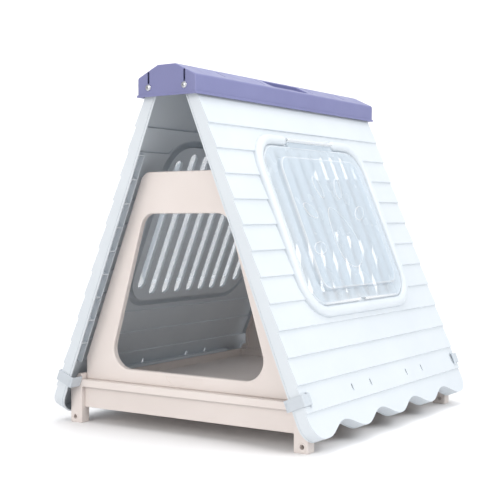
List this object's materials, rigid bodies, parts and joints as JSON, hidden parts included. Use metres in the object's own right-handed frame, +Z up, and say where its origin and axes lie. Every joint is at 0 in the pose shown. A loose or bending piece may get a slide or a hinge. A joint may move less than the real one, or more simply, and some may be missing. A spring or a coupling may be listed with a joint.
{
  "type": "a-frame pet kennel",
  "caption": "A-frame plastic pet house with clapboard side panels, hinged clear window covers, ridge cap, gable door opening and a raised base on legs.",
  "frame": {"origin": "on the ground, under the middle of the house", "axes": "+Z up, -Y out of the door, +X to the right seen from the front"},
  "size_m": [0.6974, 0.794, 0.78],
  "materials": {
    "base_plastic": "fine moulded texture, warm white polypropylene",
    "panel_plastic": "fine moulded texture, pale blue-grey polypropylene",
    "cap_plastic": "satin moulded polypropylene, blue-violet",
    "clip_plastic": "satin moulded polypropylene, grey-blue",
    "clear_plastic": "translucent polypropylene, glossy",
    "steel": "bright zinc plating"
  },
  "bodies": {
    "base": {"base_tray": "base_plastic", "front_gable": "base_plastic", "rear_gable": "base_plastic"},
    "roof": {"ridge_cap": "cap_plastic", "front_left_screw": "steel", "front_right_screw": "steel", "rear_left_screw": "steel", "rear_right_screw": "steel", "front_left_nut": "steel", "front_right_nut": "steel", "rear_left_nut": "steel", "rear_right_nut": "steel"},
    "left_side": {"left_side_panel": "panel_plastic", "left_hinge_rod": "steel"},
    "right_side": {"right_side_panel": "panel_plastic", "right_hinge_rod": "steel"},
    "left_cover": {"left_window_cover": "clear_plastic"},
    "right_cover": {"right_window_cover": "clear_plastic"},
    "clip_front_left": {"front_left_clip": "clip_plastic"},
    "clip_front_right": {"front_right_clip": "clip_plastic"},
    "clip_rear_left": {"rear_left_clip": "clip_plastic"},
    "clip_rear_right": {"rear_right_clip": "clip_plastic"}
  },
  "joints": [
    {"name": "roof_lift", "type": "slide", "parent": "base", "child": "roof", "axis": [0, 0, 1], "range_m": [0, 0.25]},
    {"name": "left_side_swing", "type": "hinge", "parent": "roof", "child": "left_side", "pos_m": [-0.04657, 0, 0.73377], "axis": [0, 1, 0], "range_deg": [0, 6]},
    {"name": "right_side_swing", "type": "hinge", "parent": "roof", "child": "right_side", "pos_m": [0.04657, 0, 0.73377], "axis": [0, -1, 0], "range_deg": [0, 6]},
    {"name": "left_cover_hinge", "type": "hinge", "parent": "left_side", "child": "left_cover", "pos_m": [-0.11098, 0, 0.63576], "axis": [0, 1, 0], "range_deg": [0, 100]},
    {"name": "right_cover_hinge", "type": "hinge", "parent": "right_side", "child": "right_cover", "pos_m": [0.11098, 0, 0.63576], "axis": [0, -1, 0], "range_deg": [0, 100]},
    {"name": "front_left_clip_hinge", "type": "hinge", "parent": "left_side", "child": "clip_front_left", "pos_m": [-0.32013, -0.356, 0.1109], "axis": [-0.3746, 0, -0.9272], "range_deg": [0, 90]},
    {"name": "front_right_clip_hinge", "type": "hinge", "parent": "right_side", "child": "clip_front_right", "pos_m": [0.32013, -0.356, 0.1109], "axis": [-0.3746, 0, 0.9272], "range_deg": [0, 90]},
    {"name": "rear_left_clip_hinge", "type": "hinge", "parent": "left_side", "child": "clip_rear_left", "pos_m": [-0.32013, 0.356, 0.1109], "axis": [0.3746, 0, 0.9272], "range_deg": [0, 90]},
    {"name": "rear_right_clip_hinge", "type": "hinge", "parent": "right_side", "child": "clip_rear_right", "pos_m": [0.32013, 0.356, 0.1109], "axis": [0.3746, 0, -0.9272], "range_deg": [0, 90]}
  ]
}
